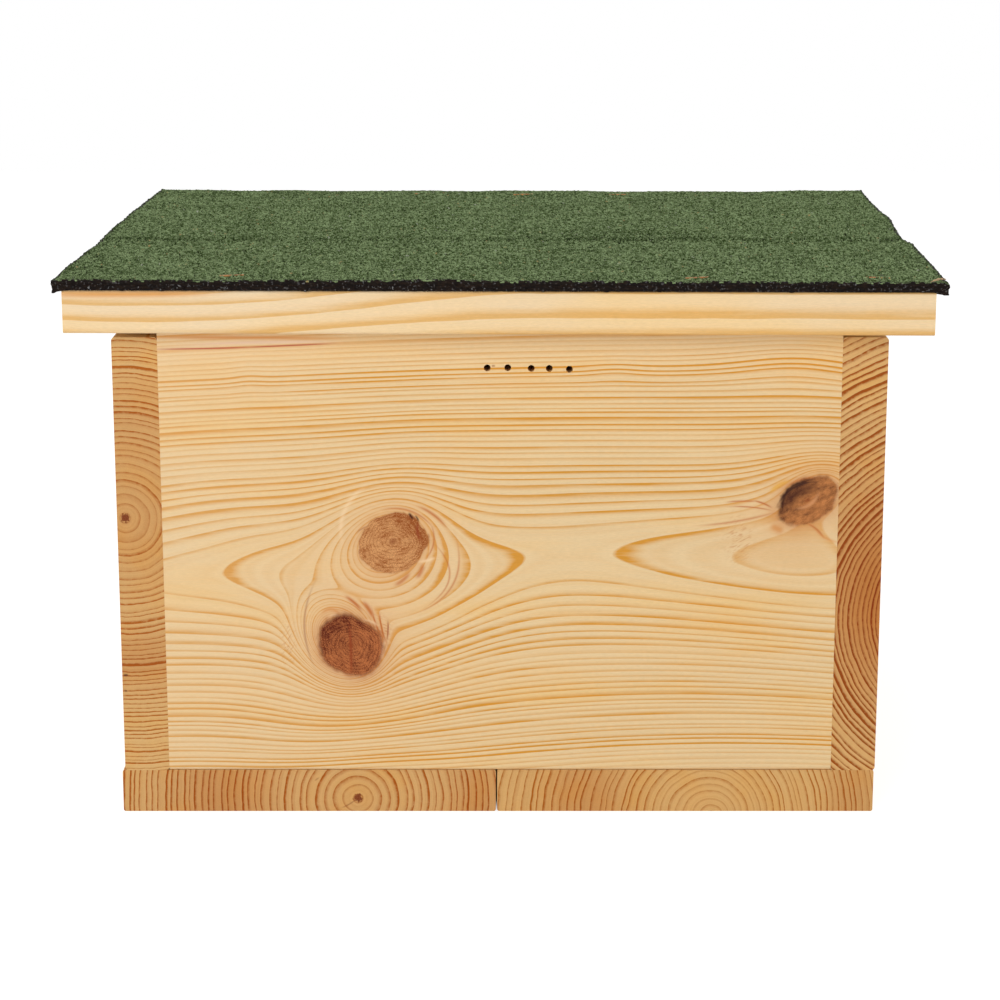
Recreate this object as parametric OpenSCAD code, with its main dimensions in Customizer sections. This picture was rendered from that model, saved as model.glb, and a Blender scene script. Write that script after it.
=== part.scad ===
// Hedgehog house of planed pine boards with a loose flat lid under roofing felt.
// Millimetres. X runs left to right along the vent wall, Y from the vent wall at the
// front (-Y) to the entrance wall at the back (+Y), Z up from the ground.
// The origin is on the ground, at the middle of the box.

/* [Box] */
// Width of the box over its side boards
box_w = 340; // [320:1:420]
// Depth of the box over its two end panels
box_d = 305; // [280:1:400]
// Height of the end panels above the floor, which is what the lid rests on
panel_h = 203; // [180:1:260]
// Thickness of the end panels
panel_t = 20; // [18:0.5:24]
// Thickness of the side boards
side_t = 20; // [18:0.5:24]
// How far the side boards stop short of the lid
side_drop = 4; // [2:0.5:8]
// Radius that the planer leaves on the long arrises of the walls, lid and battens
arris_r = 1.6; // [0.6:0.1:2.4]

/* [Floor] */
// Thickness of the two floor boards
floor_t = 19.6; // [18:0.1:24]
// Radius of the long arrises of the floor boards
floor_arris_r = 1; // [0.5:0.1:2]
// How far the floor stands out past the left side board
floor_lip_left = 1.3; // [0:0.1:3]
// How far the floor stands out past the right side board, less than nothing where it is short
floor_lip_right = -0.4; // [-1:0.1:3]
// Gap between the two floor boards
floor_gap = 0.6; // [0.4:0.1:2]
// How far left of the middle that gap lies
floor_gap_x = 1.6; // [0:0.1:8]

/* [Vent holes] */
// Number of vent holes in the row
vent_count = 5; // [3:1:9]
// Diameter of the vent drill
vent_d = 3; // [2:0.2:6]
// Mean distance from one vent hole to the next
vent_pitch = 9; // [8:0.2:16]
// How far right of the middle the row is centred
vent_row_x = 12.4; // [-20:0.2:20]
// Depth of the row below the top edge of the panel
vent_depth = 17.6; // [12:0.2:40]

/* [Entrance and partition] */
// Width of the entrance hole
entrance_w = 104; // [95:1:115]
// Height of the entrance hole above the floor
entrance_h = 110; // [95:1:125]
// Radius of the two upper corners of the entrance
entrance_r = 15; // [8:1:30]
// Width of the leg of the panel that is left outside the entrance
entrance_leg = 30; // [28:1:34]
// Thickness of the partition
partition_t = 20; // [18:0.5:24]
// How far the partition stands back from the edge of the entrance
partition_back = 1; // [0.5:0.5:6]
// Width of the doorway between the end of the partition and the vent panel
doorway_w = 120; // [100:1:130]

/* [Lid] */
// Thickness of the two roof boards
roof_t = 19; // [18:0.5:24]
// How far the roof boards run out past each side board
roof_side_eave = 17.6; // [10:0.2:40]
// How far the roof boards stand out past each end panel
roof_end_eave = 17.5; // [10:0.5:40]
// Gap between the two roof boards
roof_gap = 0.5; // [0.2:0.1:2]
// Width of the battens under the roof boards
batten_w = 40; // [30:1:50]
// Thickness of the battens
batten_t = 18; // [14:1:24]
// Clearance from each batten to the side board beside it
batten_side_gap = 5; // [4.5:0.5:12]
// Clearance from each end of a batten to the end panel
batten_end_gap = 10; // [5:1:30]
// Turn of the loose lid on the box, in degrees, clockwise from above
lid_turn = 1; // [0:0.1:1]
// How far the loose lid is pushed to the right
lid_shift = 2; // [0:0.1:2]

/* [Felt] */
// Thickness of the roofing felt
felt_t = 4.1; // [3:0.1:6]
// How far the felt hangs out past the ends of the roof boards
felt_side_lip = 5.6; // [1:0.2:10]
// How far the felt stands out past the roof boards on the vent side
felt_front_lip = 0.5; // [0:0.1:4]
// How far the felt stops short of the roof boards on the entrance side
felt_back_short = 2.5; // [0:0.5:6]
// Reach of the unevenness in the cut down each side of the felt, nothing for a straight cut
felt_cut = 1; // [0:0.1:1.5]

/* [Fasteners] */
// Diameter of the wood screws
screw_d = 4; // [3.5:0.1:4.5]
// Diameter of the countersunk screw heads
screw_head_d = 8; // [7:0.2:9]
// Depth of a screw head below the surface of the wood
screw_sink = 0.4; // [0.2:0.1:1]
// Length of the screws that hold the box together
box_screw_l = 45; // [40:1:46]
// Length of the screws in the battens
batten_screw_l = 30; // [28:1:32]
// Clearance all round a fastener in its hole
screw_fit = 0.05; // [0.03:0.01:0.1]
// Length of a staple's crown
staple_crown = 10.6; // [8:0.2:12.8]
// Length of a staple's legs
staple_leg = 10; // [8:1:14]

/* [Hidden] */
$fn = 48;
past = 1; // how far a cutting shape runs past the face that it opens

pine = [0.87, 0.70, 0.46];
pine_end = [0.74, 0.55, 0.33];
felt_green = [0.30, 0.38, 0.24];
zinc = [0.70, 0.70, 0.68];
copper = [0.72, 0.48, 0.30];

// Box
panel_w = box_w - 2 * side_t;
side_h = panel_h - side_drop;
panel_top = floor_t + panel_h;
panel_y = box_d / 2 - panel_t / 2;
inner_d = box_d - 2 * panel_t;
floor_left = -box_w / 2 - floor_lip_left;
floor_right = box_w / 2 + floor_lip_right;

// Vent holes: how far the hand drill wandered off the even row, across and up
vent_drift = [[0, 0], [0, 0.1], [1.3, -0.2], [0.2, -0.2], [0, -0.6]];

// Entrance and partition
entrance_left = -panel_w / 2 + entrance_leg;
entrance_right = entrance_left + entrance_w;
partition_x = entrance_right + partition_back + partition_t / 2;
partition_l = inner_d - doorway_w;
partition_y = inner_d / 2 - partition_l / 2;

// Lid, measured from its own middle and its underside
roof_w = box_w + 2 * roof_side_eave;
roof_d = box_d + 2 * roof_end_eave;
roof_board_d = (roof_d - roof_gap) / 2;
batten_l = inner_d - 2 * batten_end_gap;
batten_x = panel_w / 2 - batten_side_gap - batten_w / 2;

// Felt: an uneven knife cut down each side, as shares of its depth and shares of its reach outwards
felt_front = -roof_d / 2 - felt_front_lip;
felt_back = roof_d / 2 - felt_back_short;
felt_half_w = roof_w / 2 + felt_side_lip;
cut_right = [[0, 0.3], [0.355, 0.4], [0.38, -1.5], [0.47, -1.4], [0.64, 1.2], [1, 0.6]];
cut_left = [[1, 0], [0.72, 0.6], [0.45, 0], [0.37, -1], [0.14, -0.1], [0, -0.4]];

// Screws
screw_r = screw_d / 2;
screw_head_r = screw_head_d / 2;
screw_head_h = screw_head_r - screw_r; // the head's cone has sides at 45 degrees
screw_rim = 0.3; // straight rim of the head, above its cone
screw_tip_l = 4;
recess_w = 0.9;
recess_l = 4.4;
recess_h = 1.8;
corner_inset = 35; // from a board's end to its outermost screw
panel_screw_inset = 40; // from a panel's end to the floor screw under it
panel_screw_mid = 45; // from the middle of a panel to the next floor screw
batten_screw_near = 30; // from the middle of a batten to its inner screws
batten_screw_far = 95; // from the middle of a batten to its outer screws
partition_screw_low = 45; // height above the floor of the lower screw into the partition
partition_screw_in = 35; // from each end of the partition to the screw under it
partition_screw_aside = 4; // those under it stand off its middle, clear of the floor's gap

// Staples: wire, and where each was shot in, as [x, y, turn] on the lid
staple_wire_w = 1.2;
staple_wire_t = 0.8;
staple_proud = 0.2;
staple_inset = 14; // from the edge of the felt to the rows of staples
staples_front = [[-116, 3, 15], [-10, 4, -58], [86, 0, 20], [164, 1, -12]];
staples_back = [[-164, -1, 8], [-134, 0, 35], [-48, 5, -18], [8, 6, 10], [60, 6, 4], [158, 0, -8]];

// Corner circles and crossed squares make a rectangle with rounded corners
module eased_rectangle(a, b, r) {
    square([a - 2 * r, b], center = true);
    square([a, b - 2 * r], center = true);
    for (i = [-1, 1], j = [-1, 1])
        translate([i * (a / 2 - r), j * (b / 2 - r)]) circle(r);
}

// A board with its grain and its eased arrises along X, centred on the origin
module board_along_x(length, depth, height) {
    rotate([90, 0, 90])
        linear_extrude(length, center = true) eased_rectangle(depth, height, arris_r);
}

// A board with its grain and its eased arrises along Y, centred on the origin
module board_along_y(width, length, height, r = arris_r) {
    rotate([90, 0, 0])
        linear_extrude(length, center = true) eased_rectangle(width, height, r);
}

// The profile of a countersunk screw from its head, at 0, down to its tip
module screw_profile(length, grow, up) {
    rotate_extrude()
        polygon([
            [0, up],
            [screw_head_r + grow, up],
            [screw_head_r + grow, -screw_sink - screw_rim],
            [screw_r + grow, -screw_sink - screw_rim - screw_head_h],
            [screw_r + grow, -screw_sink - length + screw_tip_l],
            [0, -screw_sink - length - grow]
        ]);
}

// A screw that points down, in wood whose surface is at 0
module screw(length) {
    difference() {
        screw_profile(length, 0, -screw_sink);
        for (a = [0, 90])
            rotate([0, 0, a])
                translate([-recess_l / 2, -recess_w / 2, -screw_sink - recess_h])
                    cube([recess_l, recess_w, recess_h + past]);
    }
}

// The countersunk hole that the screw sits in
module screw_hole(length) {
    screw_profile(length, screw_fit, past);
}

// Three screws through each end of a side board into the end of a panel
module side_screw_places(side) {
    for (end = [-1, 1], k = [0:2])
        translate([
            side * box_w / 2,
            end * panel_y,
            floor_t + corner_inset + k * (side_h - 2 * corner_inset) / 2
        ])
            rotate([0, side * 90, 0]) children();
}

// Screws up through the floor into the side boards and the two panels
module floor_screw_places() {
    for (side = [-1, 1], k = [-1:1])
        translate([side * (box_w / 2 - side_t / 2), k * (box_d / 2 - panel_t - corner_inset), 0])
            rotate([180, 0, 0]) children();
    for (side = [-1, 1], x = [panel_screw_mid, panel_w / 2 - panel_screw_inset])
        translate([side * x, -panel_y, 0]) rotate([180, 0, 0]) children();
    for (x = [-panel_w / 2 + entrance_leg / 2, panel_screw_mid, panel_w / 2 - panel_screw_inset])
        translate([x, panel_y, 0]) rotate([180, 0, 0]) children();
}

// Screws into the partition: two through the entrance panel and two up through the floor
module partition_screw_places() {
    for (z = [partition_screw_low, side_h - corner_inset])
        translate([partition_x, box_d / 2, floor_t + z]) rotate([-90, 0, 0]) children();
    for (end = [-1, 1])
        translate([
            partition_x - partition_screw_aside,
            partition_y + end * (partition_l / 2 - partition_screw_in),
            0
        ])
            rotate([180, 0, 0]) children();
}

// Screws up through each batten, two into each roof board, in the lid's own place
module batten_screw_places() {
    for (side = [-1, 1], end = [-1, 1], y = [batten_screw_near, batten_screw_far])
        translate([side * batten_x, end * y, -batten_t]) rotate([180, 0, 0]) children();
}

// The lid lies on the panels a little turned and pushed aside
module on_the_box() {
    translate([lid_shift, 0, panel_top]) rotate([0, 0, -lid_turn]) children();
}

// One staple, shot down into felt whose surface is at 0
module staple(grow) {
    wire_w = staple_wire_w + 2 * grow;
    wire_t = staple_wire_t + 2 * grow;
    crown = staple_crown + 2 * grow;
    bottom = staple_proud - staple_wire_t - grow;
    translate([-crown / 2, -wire_w / 2, bottom]) cube([crown, wire_w, wire_t]);
    for (side = [0, 1])
        translate([-crown / 2 + side * (crown - wire_t), -wire_w / 2, -staple_leg])
            cube([wire_t, wire_w, staple_leg + bottom + wire_t / 2]);
}

module staple_rows(grow) {
    for (s = staples_front)
        translate([s[0], felt_front + staple_inset + s[1], roof_t + felt_t])
            rotate([0, 0, s[2]]) staple(grow);
    for (s = staples_back)
        translate([s[0], felt_back - staple_inset - s[1], roof_t + felt_t])
            rotate([0, 0, s[2]]) staple(grow);
}

// A floor board from one long edge to the other
module floor_board(left, right) {
    color(pine_end)
        difference() {
            translate([(left + right) / 2, 0, floor_t / 2])
                board_along_y(right - left, box_d, floor_t, floor_arris_r);
            floor_screw_places() screw_hole(box_screw_l);
            partition_screw_places() screw_hole(box_screw_l);
        }
}

module floor_board_left() {
    floor_board(floor_left, -floor_gap_x - floor_gap / 2);
}

module floor_board_right() {
    floor_board(-floor_gap_x + floor_gap / 2, floor_right);
}

// A side board, its end grain showing in both end walls
module side_board(side) {
    color(pine_end)
        difference() {
            translate([side * (box_w / 2 - side_t / 2), 0, floor_t + side_h / 2])
                board_along_y(side_t, box_d, side_h);
            side_screw_places(side) screw_hole(box_screw_l);
            floor_screw_places() screw_hole(box_screw_l);
        }
}

module side_board_left() {
    side_board(-1);
}

module side_board_right() {
    side_board(1);
}

// An end panel between the side boards, its grain level
module end_panel(end) {
    difference() {
        translate([0, end * panel_y, floor_t + panel_h / 2])
            board_along_x(panel_w, panel_t, panel_h);
        for (side = [-1, 1]) side_screw_places(side) screw_hole(box_screw_l);
        floor_screw_places() screw_hole(box_screw_l);
        partition_screw_places() screw_hole(box_screw_l);
    }
}

// The vent panel, with a hand-drilled row of holes near its top edge
module vent_panel() {
    color(pine)
        difference() {
            end_panel(-1);
            for (k = [0:vent_count - 1]) {
                drift = vent_drift[k % len(vent_drift)];
                translate([
                    vent_row_x + (k - (vent_count - 1) / 2) * vent_pitch + drift[0],
                    -box_d / 2 + panel_t + past,
                    panel_top - vent_depth + drift[1]
                ])
                    rotate([90, 0, 0]) cylinder(h = panel_t + 2 * past, d = vent_d);
            }
        }
}

// The entrance hole in outline, square at the floor and round at its upper corners
module entrance_outline() {
    translate([0, -past]) square([entrance_w, entrance_h - entrance_r + past]);
    translate([entrance_r, -past]) square([entrance_w - 2 * entrance_r, entrance_h + past]);
    for (x = [entrance_r, entrance_w - entrance_r])
        translate([x, entrance_h - entrance_r]) circle(entrance_r);
}

// The entrance panel, with the doorway that the hedgehog uses
module entrance_panel() {
    color(pine)
        difference() {
            end_panel(1);
            translate([entrance_left, box_d / 2 + past, floor_t])
                rotate([90, 0, 0]) linear_extrude(panel_t + 2 * past) entrance_outline();
        }
}

// The partition, which makes a passage of the side that has the entrance
module partition_board() {
    color(pine)
        difference() {
            translate([partition_x, partition_y, floor_t + side_h / 2])
                board_along_y(partition_t, partition_l, side_h);
            partition_screw_places() screw_hole(box_screw_l);
        }
}

module side_screws() {
    color(zinc)
        for (side = [-1, 1]) side_screw_places(side) screw(box_screw_l);
}

module floor_screws() {
    color(zinc) floor_screw_places() screw(box_screw_l);
}

module partition_screws() {
    color(zinc) partition_screw_places() screw(box_screw_l);
}

// A roof board, its grain along the eaves
module roof_board(end) {
    color(pine)
        on_the_box()
            difference() {
                translate([0, end * (roof_gap + roof_board_d) / 2, roof_t / 2])
                    board_along_x(roof_w, roof_board_d, roof_t);
                batten_screw_places() screw_hole(batten_screw_l);
                staple_rows(screw_fit);
            }
}

module roof_board_vent_side() {
    roof_board(-1);
}

module roof_board_entrance_side() {
    roof_board(1);
}

// A batten, which ties the two roof boards together and keeps the lid on the box
module batten(side) {
    color(pine)
        on_the_box()
            difference() {
                translate([side * batten_x, 0, -batten_t / 2])
                    board_along_y(batten_w, batten_l, batten_t);
                batten_screw_places() screw_hole(batten_screw_l);
            }
}

module batten_left() {
    batten(-1);
}

module batten_right() {
    batten(1);
}

module batten_screws() {
    color(zinc) on_the_box() batten_screw_places() screw(batten_screw_l);
}

// One sheet of mineral felt, cut by hand along its two sides
module roof_felt() {
    felt_d = felt_back - felt_front;
    outline = concat(
        [for (c = cut_right) [felt_half_w + c[1] * felt_cut, felt_front + c[0] * felt_d]],
        [for (c = cut_left) [-felt_half_w - c[1] * felt_cut, felt_front + c[0] * felt_d]]
    );
    color(felt_green)
        on_the_box()
            difference() {
                translate([0, 0, roof_t]) linear_extrude(felt_t) polygon(outline);
                staple_rows(screw_fit);
            }
}

module felt_staples() {
    color(copper) on_the_box() staple_rows(0);
}

floor_board_left();
floor_board_right();
side_board_left();
side_board_right();
vent_panel();
entrance_panel();
partition_board();
side_screws();
floor_screws();
partition_screws();
roof_board_vent_side();
roof_board_entrance_side();
batten_left();
batten_right();
batten_screws();
roof_felt();
felt_staples();
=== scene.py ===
"""A small pine hedgehog house with a loose lid under green roofing felt, dressed for the camera."""

import math

import bpy
import numpy as np
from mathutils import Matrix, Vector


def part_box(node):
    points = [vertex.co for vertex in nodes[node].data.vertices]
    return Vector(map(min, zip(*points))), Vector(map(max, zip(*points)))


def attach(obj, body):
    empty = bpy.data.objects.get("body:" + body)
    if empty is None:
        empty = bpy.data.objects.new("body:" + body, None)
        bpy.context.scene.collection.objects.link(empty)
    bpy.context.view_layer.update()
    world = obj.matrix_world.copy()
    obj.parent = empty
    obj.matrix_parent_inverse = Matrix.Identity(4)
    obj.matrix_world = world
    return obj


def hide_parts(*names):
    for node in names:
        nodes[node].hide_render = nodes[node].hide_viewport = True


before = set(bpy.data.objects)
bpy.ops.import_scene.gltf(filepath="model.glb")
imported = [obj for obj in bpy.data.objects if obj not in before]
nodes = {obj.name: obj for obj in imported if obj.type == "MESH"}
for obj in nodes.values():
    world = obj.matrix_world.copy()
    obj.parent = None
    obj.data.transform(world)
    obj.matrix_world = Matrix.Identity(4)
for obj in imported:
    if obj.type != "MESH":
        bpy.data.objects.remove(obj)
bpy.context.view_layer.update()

# Camera
# A long lens stands 1.3 m in front of the vent wall, a little above the lid, and looks down
# at the middle of the box, so that the felt shows as a narrow slope over the front board.
camera_film = 36.0
camera_lens = 96.12
camera_place = (0.0, -1.304, 0.41685)
camera_pitch = math.radians(76.744)


def put(name, data):
    """A new object in the scene, made of its data."""
    made = bpy.data.objects.new(name, data)
    bpy.context.scene.collection.objects.link(made)
    return made


camera = put("camera", bpy.data.cameras.new("camera"))
camera.data.sensor_width = camera_film
camera.data.lens = camera_lens
camera.location = camera_place
camera.rotation_euler = (camera_pitch, 0.0, 0.0)
bpy.context.scene.camera = camera
bpy.context.scene.view_settings.view_transform = "Standard"

# Studio
# The house stands on a seamless white sheet in a white tent, with one large soft lamp low in
# front on the left, a weaker one on the right and one overhead. The sheet takes the shadow.
tent_light = 0.38
lamp_aim = (0.0, 0.0, 0.12)
lamps = {
    "key_lamp": {"place": (-1.1, -2.0, 0.7), "size": 1.6, "power": 26.2},
    "fill_lamp": {"place": (1.4, -1.9, 0.3), "size": 1.7, "power": 15.5},
    "top_lamp": {"place": (0.0, 0.3, 2.0), "size": 1.7, "power": 12.5},
}
sheet_half = 2.5
# Greys of the paper: as the lamps light it, its own glow, and how it lights the house
paper_lit = 0.6
paper_shine = 0.74
paper_plain = 0.8
# The glow stands for the tent's light on the sheet, so it fades out under the house's edges
house_half = (0.168, 0.150)
glow_fade = 0.012


def lamp(name, place, size, power):
    """A square soft lamp at a place, turned to the middle of the house."""
    made = put(name, bpy.data.lights.new(name, "AREA"))
    made.data.size = size
    made.data.energy = power
    made.location = place
    towards = np.array(lamp_aim) - np.array(place)
    across = math.hypot(towards[0], towards[1])
    made.rotation_euler = (math.atan2(across, -towards[2]), 0.0, math.atan2(-towards[0], towards[1]))


for lamp_name, lamp_facts in lamps.items():
    lamp(lamp_name, **lamp_facts)


class Formula:
    """A value in a shader tree. Adding or multiplying two of them adds the Math node that does it."""

    def __init__(self, tree, socket):
        self.tree = tree
        self.socket = socket

    def math(self, operation, other=0.0, third=0.0):
        node = self.tree.nodes.new("ShaderNodeMath")
        node.operation = operation
        for value, socket in zip((self, other, third), node.inputs):
            plug(self.tree, value, socket)
        return Formula(self.tree, node.outputs[0])

    def __add__(self, other):
        return self.math("ADD", other)

    def __sub__(self, other):
        return self.math("SUBTRACT", other)

    def __mul__(self, other):
        return self.math("MULTIPLY", other)

    def __truediv__(self, other):
        return self.math("DIVIDE", other)

    def __pow__(self, other):
        return self.math("POWER", other)

    def __neg__(self):
        return self * -1.0

    def __rsub__(self, other):
        return -self + other

    __radd__ = __add__
    __rmul__ = __mul__

    def exp(self):
        return self.math("EXPONENT")

    def log(self):
        return self.math("LOGARITHM", math.e)

    def sqrt(self):
        return self.math("SQRT")

    def clipped(self):
        """Held between 0 and 1."""
        return self.math("MAXIMUM", 0.0).math("MINIMUM", 1.0)

    def rise(self, low, high, step="SMOOTHSTEP"):
        """0 below low, 1 above high and a step between, smooth or straight."""
        node = self.tree.nodes.new("ShaderNodeMapRange")
        node.interpolation_type = step
        for value, socket in zip((self, low, high), node.inputs):
            plug(self.tree, value, socket)
        return Formula(self.tree, node.outputs["Result"])

    def bell(self, middle, width):
        """1 at middle, falling away as a bell of that width on both sides."""
        away = (self - middle) / width
        return (-(away * away)).exp()


def plug(tree, value, socket):
    """Links a Formula to a socket, or writes a plain value or an sRGB colour of 0 to 255 into it."""
    if isinstance(value, Formula):
        tree.links.new(value.socket, socket)
    elif socket.type == "RGBA":
        shares = [part / 255.0 for part in value]
        linear = [((s + 0.055) / 1.055) ** 2.4 if s > 0.04045 else s / 12.92 for s in shares]
        socket.default_value = (*linear, 1.0)
    else:
        socket.default_value = value


def parts_of(place):
    """The x, y and z of a place, as three Formulas."""
    node = place.tree.nodes.new("ShaderNodeSeparateXYZ")
    place.tree.links.new(place.socket, node.inputs[0])
    return [Formula(place.tree, out) for out in node.outputs]


def grey_shader(tree, kind, grey):
    """A shader node of one grey, where 1 is white."""
    node = tree.nodes.new(kind)
    node.inputs["Color"].default_value = (grey, grey, grey, 1.0)
    return node


def end_in_two(tree, unseen, seen, end_kind):
    """Ends a tree with the shader seen for rays from the camera, off a mirror and through glass.

    The rays that only light the house meet the shader unseen."""
    rays = tree.nodes.new("ShaderNodeLightPath")
    share = Formula(tree, rays.outputs["Is Camera Ray"])
    for label in ("Is Glossy Ray", "Is Transmission Ray"):
        share = share.math("MAXIMUM", Formula(tree, rays.outputs[label]))
    mix = tree.nodes.new("ShaderNodeMixShader")
    end = tree.nodes.new(end_kind)
    plug(tree, share, mix.inputs[0])
    tree.links.new(unseen.outputs[0], mix.inputs[1])
    tree.links.new(seen.outputs[0], mix.inputs[2])
    tree.links.new(mix.outputs[0], end.inputs["Surface"])


world = bpy.data.worlds.new("studio_tent")
world.use_nodes = True
bpy.context.scene.world = world
tent = world.node_tree
tent.nodes.clear()
tent_glow = grey_shader(tent, "ShaderNodeBackground", 1.0)
tent_glow.inputs["Strength"].default_value = tent_light
end_in_two(tent, tent_glow, grey_shader(tent, "ShaderNodeBackground", 1.0), "ShaderNodeOutputWorld")

sheet_mesh = bpy.data.meshes.new("paper_sheet")
sheet_corners = [(x * sheet_half, y * sheet_half, 0.0) for x, y in ((-1, -1), (1, -1), (1, 1), (-1, 1))]
sheet_mesh.from_pydata(sheet_corners, [], [(0, 1, 2, 3)])
sheet = put("paper_sheet", sheet_mesh)
sheet_paper = bpy.data.materials.new("white_paper")
sheet_paper.use_nodes = True
paper = sheet_paper.node_tree
paper.nodes.clear()
paper_glow = grey_shader(paper, "ShaderNodeEmission", paper_shine)
paper_place = Formula(paper, paper.nodes.new("ShaderNodeTexCoord").outputs["Object"])
paper_free_x, paper_free_y = [
    part.math("ABSOLUTE").rise(half - glow_fade, half, "LINEAR")
    for part, half in zip(parts_of(paper_place), house_half)
]
plug(paper, paper_free_x.math("MAXIMUM", paper_free_y), paper_glow.inputs["Strength"])
paper_sum = paper.nodes.new("ShaderNodeAddShader")
paper.links.new(grey_shader(paper, "ShaderNodeBsdfDiffuse", paper_lit).outputs[0], paper_sum.inputs[0])
paper.links.new(paper_glow.outputs[0], paper_sum.inputs[1])
paper_unseen = grey_shader(paper, "ShaderNodeBsdfDiffuse", paper_plain)
end_in_two(paper, paper_unseen, paper_sum, "ShaderNodeOutputMaterial")
sheet_mesh.materials.append(sheet_paper)


# Pine
# Every board is planed, untreated pine, sawn from one tree trunk each. The trunk's growth rings
# run through the whole board, so the face shows long grain and the sawn end shows arcs.
def place_of(tree, x, y, z):
    """A place made of three Formulas or numbers."""
    node = tree.nodes.new("ShaderNodeCombineXYZ")
    for value, socket in zip((x, y, z), node.inputs):
        plug(tree, value, socket)
    return Formula(tree, node.outputs[0])


def dotted(first, second):
    """The dot product of two places."""
    node = first.tree.nodes.new("ShaderNodeVectorMath")
    node.operation = "DOT_PRODUCT"
    plug(first.tree, first, node.inputs[0])
    plug(first.tree, second, node.inputs[1])
    return Formula(first.tree, node.outputs["Value"])


def far(first, second):
    """The length of the long side over two sides that meet squarely."""
    return (first * first + second * second).sqrt()


def noise(place, stretch, detail=2.0, rough=0.5, seed=0.0):
    """Smooth random values from -0.5 to 0.5. Stretch is how many waves go to each unit of place."""
    move = place.tree.nodes.new("ShaderNodeVectorMath")
    move.operation = "MULTIPLY_ADD"
    place.tree.links.new(place.socket, move.inputs[0])
    move.inputs[1].default_value = stretch
    plug(place.tree, seed if isinstance(seed, Formula) else (seed, seed, seed), move.inputs[2])
    node = place.tree.nodes.new("ShaderNodeTexNoise")
    place.tree.links.new(move.outputs[0], node.inputs["Vector"])
    node.inputs["Scale"].default_value = 1.0
    node.inputs["Detail"].default_value = detail
    node.inputs["Roughness"].default_value = rough
    return Formula(place.tree, node.outputs[0]) - 0.5


def line_noise(number, detail=0.0):
    """Smooth random values about 0 along one number."""
    node = number.tree.nodes.new("ShaderNodeTexNoise")
    node.noise_dimensions = "1D"
    number.tree.links.new(number.socket, node.inputs["W"])
    node.inputs["Scale"].default_value = 1.0
    node.inputs["Detail"].default_value = detail
    return Formula(number.tree, node.outputs[0]) - 0.5


def dice(number):
    """One random value from 0 to 1 for each number."""
    node = number.tree.nodes.new("ShaderNodeTexWhiteNoise")
    node.noise_dimensions = "1D"
    number.tree.links.new(number.socket, node.inputs["W"])
    return Formula(number.tree, node.outputs["Value"])


def tint(share, first, second, how="MIX"):
    """Colour first where share is 0 and second where it is 1."""
    node = share.tree.nodes.new("ShaderNodeMix")
    node.data_type = "RGBA"
    node.blend_type = how
    share.tree.links.new(share.socket, node.inputs[0])
    plug(share.tree, first, node.inputs[6])
    plug(share.tree, second, node.inputs[7])
    return Formula(share.tree, node.outputs[2])


def shade(colour, factor):
    """A colour made brighter or darker by a factor."""
    node = colour.tree.nodes.new("ShaderNodeVectorMath")
    node.operation = "SCALE"
    colour.tree.links.new(colour.socket, node.inputs[0])
    plug(colour.tree, factor, node.inputs["Scale"])
    return Formula(colour.tree, node.outputs[0])


socket_kinds = {"number": "NodeSocketFloat", "place": "NodeSocketVector", "colour": "NodeSocketColor"}


def new_effect(name, takes, gives):
    """A shader node group with named inputs and outputs: its tree, its inputs as Formulas and its end.

    The inputs come in the order in which they are named."""
    tree = bpy.data.node_groups.new(name, "ShaderNodeTree")
    for label, kind in takes.items():
        tree.interface.new_socket(label, in_out="INPUT", socket_type=socket_kinds[kind])
    for label, kind in gives.items():
        tree.interface.new_socket(label, in_out="OUTPUT", socket_type=socket_kinds[kind])
    start = tree.nodes.new("NodeGroupInput")
    end = tree.nodes.new("NodeGroupOutput")
    return tree, [Formula(tree, start.outputs[label]) for label in takes], end


def use_effect(tree, effect, **values):
    """Places a node group in a material with its values, and gives its outputs as Formulas."""
    node = tree.nodes.new("ShaderNodeGroup")
    node.node_tree = effect
    for label, value in values.items():
        plug(tree, value, node.inputs[label])
    return {out.name: Formula(tree, out) for out in node.outputs}


# Growth rings: the distance from the pith, counted in rings that start wide and settle to one width
rings_takes = {
    "Place": "place", "FirstWidth": "number", "Width": "number", "Settle": "number",
    "Lean": "number", "Bend": "number", "Uneven": "number", "Seed": "number",
}
growth_rings, rings_in, rings_out = new_effect("growth_rings", rings_takes, {"Ring": "number"})
ring_place, ring_first, ring_width, ring_settle, ring_lean, ring_bend, ring_uneven, ring_seed = rings_in
ring_x, ring_y, ring_z = parts_of(ring_place)
ring_sweep = (0.006, 0.012, 0.012)
swept_y = ring_y + noise(ring_place, ring_sweep, 1.0, 0.4, ring_seed) * ring_bend
swept_z = ring_z + noise(ring_place, ring_sweep, 1.0, 0.4, ring_seed + 3.7) * ring_bend
ring_wobble = noise(ring_place, (0.03, 0.09, 0.09), 2.0, 0.5, ring_seed + 7.1) * 1.6
ring_radius = far(swept_y, swept_z) + ring_lean * swept_y + ring_wobble
ring_fade = (-ring_radius / ring_settle).exp() * (ring_first - ring_width) + ring_width
ring_count = (ring_radius + (ring_fade / ring_first).log() * ring_settle) / ring_width
ring_shift = line_noise(ring_count * 0.43 + ring_seed * 5.3, 1.0) * ring_uneven
plug(growth_rings, ring_count + ring_shift + 0.35, rings_out.inputs["Ring"])

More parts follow.
